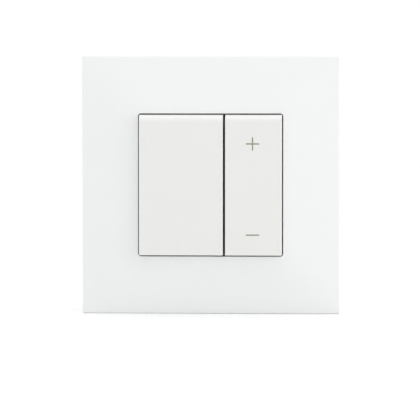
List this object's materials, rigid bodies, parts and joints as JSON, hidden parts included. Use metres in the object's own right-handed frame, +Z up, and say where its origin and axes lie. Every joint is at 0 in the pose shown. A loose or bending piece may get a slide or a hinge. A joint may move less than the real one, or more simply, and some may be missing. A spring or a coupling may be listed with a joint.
{
  "type": "flush wall dimmer switch",
  "caption": "Flush wall dimmer: a wide on/off rocker key and a narrow plus/minus rocker key in a square surround frame, on a steel yoke with fixing claws and a rear housing.",
  "frame": {"origin": "centre of the wall plane, which is the back of the steel mounting yoke and the rear rim of the surround frame, midway between the wall-box screws", "axes": "+Z up, +X to the right as seen from the room, +Y into the wall; the keys face -Y"},
  "size_m": [0.08, 0.0354, 0.08],
  "materials": {
    "frame_white": "satin",
    "key_white": "satin",
    "legend_grey": "matte",
    "rocker_grey": "matte",
    "cover_black": "matte",
    "housing_grey": "matte",
    "nylon_white": "matte",
    "switch_body": "matte",
    "plunger_red": "matte",
    "spring_steel": "satin",
    "zinc_steel": "satin",
    "screw_steel": "satin",
    "tinned_brass": "satin",
    "board_green": "satin",
    "chip_black": "matte",
    "ferrite": "matte",
    "enamelled_copper": "satin",
    "film_box": "satin",
    "can_sleeve": "satin",
    "varistor_blue": "satin",
    "fuse_glass": "gloss",
    "sink_aluminium": "satin"
  },
  "bodies": {
    "mechanism": {"surround_frame": "frame_white", "wide_spring_upper": "spring_steel", "wide_spring_lower": "spring_steel", "narrow_spring_upper": "spring_steel", "narrow_spring_lower": "spring_steel", "front_cover": "cover_black", "rear_housing": "housing_grey", "mounting_yoke": "zinc_steel", "housing_screws": "screw_steel", "control_board": "board_green", "power_board": "board_green", "board_spacers": "nylon_white", "board_header": "chip_black", "control_chips": "chip_black", "choke_core": "ferrite", "choke_winding": "enamelled_copper", "film_capacitor": "film_box", "electrolytic_capacitor": "can_sleeve", "varistor": "varistor_blue", "optocoupler": "chip_black", "fuse_tube": "fuse_glass", "fuse_caps": "tinned_brass", "transistors": "chip_black", "heat_sink": "sink_aluminium", "on_switch_body": "switch_body", "off_switch_body": "switch_body", "plus_switch_body": "switch_body", "minus_switch_body": "switch_body", "terminal_1_contact": "tinned_brass", "terminal_2_contact": "tinned_brass", "terminal_3_contact": "tinned_brass", "left_claw_pin": "screw_steel", "right_claw_pin": "screw_steel"},
    "on_off_key": {"wide_key": "key_white", "wide_rocker": "rocker_grey"},
    "dim_key": {"narrow_key": "key_white", "narrow_rocker": "rocker_grey"},
    "on_plunger": {"on_switch_plunger": "plunger_red"},
    "off_plunger": {"off_switch_plunger": "plunger_red"},
    "plus_plunger": {"plus_switch_plunger": "plunger_red"},
    "minus_plunger": {"minus_switch_plunger": "plunger_red"},
    "left_claw_screw_turning": {"left_claw_screw": "screw_steel"},
    "left_claw_nut_sliding": {"left_claw_nut": "zinc_steel"},
    "left_claw_swinging": {"left_claw": "zinc_steel"},
    "right_claw_screw_turning": {"right_claw_screw": "screw_steel"},
    "right_claw_nut_sliding": {"right_claw_nut": "zinc_steel"},
    "right_claw_swinging": {"right_claw": "zinc_steel"},
    "terminal_1_screw_turning": {"terminal_1_screw": "screw_steel"},
    "terminal_1_cage_rising": {"terminal_1_cage": "zinc_steel"},
    "terminal_2_screw_turning": {"terminal_2_screw": "screw_steel"},
    "terminal_2_cage_rising": {"terminal_2_cage": "zinc_steel"},
    "terminal_3_screw_turning": {"terminal_3_screw": "screw_steel"},
    "terminal_3_cage_rising": {"terminal_3_cage": "zinc_steel"}
  },
  "joints": [
    {"name": "on_off_key_rock", "type": "hinge", "parent": "mechanism", "child": "on_off_key", "pos_m": [-0.00911, -0.0054, 0], "axis": [1, 0, 0], "range_deg": [-3, 3], "stiffness_Nm_per_rad": 0.4, "deforming": ["wide_spring_upper", "wide_spring_lower"]},
    {"name": "on_plunger_slide", "type": "slide", "parent": "mechanism", "child": "on_plunger", "axis": [0, 1, 0], "range_m": [-0.0005, 0.0005]},
    {"name": "off_plunger_slide", "type": "slide", "parent": "mechanism", "child": "off_plunger", "axis": [0, 1, 0], "range_m": [-0.0005, 0.0005]},
    {"name": "dim_key_rock", "type": "hinge", "parent": "mechanism", "child": "dim_key", "pos_m": [0.01334, -0.0054, 0], "axis": [1, 0, 0], "range_deg": [-3, 3], "stiffness_Nm_per_rad": 0.4, "deforming": ["narrow_spring_upper", "narrow_spring_lower"]},
    {"name": "plus_plunger_slide", "type": "slide", "parent": "mechanism", "child": "plus_plunger", "axis": [0, 1, 0], "range_m": [-0.0005, 0.0005]},
    {"name": "minus_plunger_slide", "type": "slide", "parent": "mechanism", "child": "minus_plunger", "axis": [0, 1, 0], "range_m": [-0.0005, 0.0005]},
    {"name": "left_claw_screw_turn", "type": "hinge", "parent": "mechanism", "child": "left_claw_screw_turning", "pos_m": [-0.0246, 0, -0.008], "axis": [0, 1, 0], "range_deg": [0, 1440]},
    {"name": "left_claw_nut_slide", "type": "slide", "parent": "mechanism", "child": "left_claw_nut_sliding", "axis": [0, -1, 0], "range_m": [0, 0.002]},
    {"name": "left_claw_swing", "type": "hinge", "parent": "mechanism", "child": "left_claw_swinging", "pos_m": [-0.0206, 0.005, -0.008], "axis": [0, 0, 1], "range_deg": [0, 28.65]},
    {"name": "right_claw_screw_turn", "type": "hinge", "parent": "mechanism", "child": "right_claw_screw_turning", "pos_m": [0.0246, 0, -0.008], "axis": [0, 1, 0], "range_deg": [0, 1440]},
    {"name": "right_claw_nut_slide", "type": "slide", "parent": "mechanism", "child": "right_claw_nut_sliding", "axis": [0, -1, 0], "range_m": [0, 0.002]},
    {"name": "right_claw_swing", "type": "hinge", "parent": "mechanism", "child": "right_claw_swinging", "pos_m": [0.0206, 0.005, -0.008], "axis": [0, 0, -1], "range_deg": [0, 28.65]},
    {"name": "terminal_1_screw_turn", "type": "hinge", "parent": "mechanism", "child": "terminal_1_screw_turning", "pos_m": [-0.009, 0.02, -0.0156], "axis": [0, -1, 0], "range_deg": [0, 1440]},
    {"name": "terminal_1_cage_rise", "type": "slide", "parent": "mechanism", "child": "terminal_1_cage_rising", "axis": [0, 1, 0], "range_m": [0, 0.002]},
    {"name": "terminal_2_screw_turn", "type": "hinge", "parent": "mechanism", "child": "terminal_2_screw_turning", "pos_m": [0, 0.02, -0.0156], "axis": [0, -1, 0], "range_deg": [0, 1440]},
    {"name": "terminal_2_cage_rise", "type": "slide", "parent": "mechanism", "child": "terminal_2_cage_rising", "axis": [0, 1, 0], "range_m": [0, 0.002]},
    {"name": "terminal_3_screw_turn", "type": "hinge", "parent": "mechanism", "child": "terminal_3_screw_turning", "pos_m": [0.009, 0.02, -0.0156], "axis": [0, -1, 0], "range_deg": [0, 1440]},
    {"name": "terminal_3_cage_rise", "type": "slide", "parent": "mechanism", "child": "terminal_3_cage_rising", "axis": [0, 1, 0], "range_m": [0, 0.002]}
  ],
  "couplings": [
    {"joint": "on_plunger_slide", "follows": "on_off_key_rock", "m_per_rad": -0.009},
    {"joint": "off_plunger_slide", "follows": "on_off_key_rock", "m_per_rad": 0.009},
    {"joint": "plus_plunger_slide", "follows": "dim_key_rock", "m_per_rad": -0.009},
    {"joint": "minus_plunger_slide", "follows": "dim_key_rock", "m_per_rad": 0.009},
    {"joint": "left_claw_screw_turn", "follows": "left_claw_nut_slide", "rad_per_m": 12566},
    {"joint": "left_claw_swing", "follows": "left_claw_nut_slide", "rad_per_m": 250},
    {"joint": "right_claw_screw_turn", "follows": "right_claw_nut_slide", "rad_per_m": 12566},
    {"joint": "right_claw_swing", "follows": "right_claw_nut_slide", "rad_per_m": 250},
    {"joint": "terminal_1_screw_turn", "follows": "terminal_1_cage_rise", "rad_per_m": 12566},
    {"joint": "terminal_2_screw_turn", "follows": "terminal_2_cage_rise", "rad_per_m": 12566},
    {"joint": "terminal_3_screw_turn", "follows": "terminal_3_cage_rise", "rad_per_m": 12566}
  ]
}
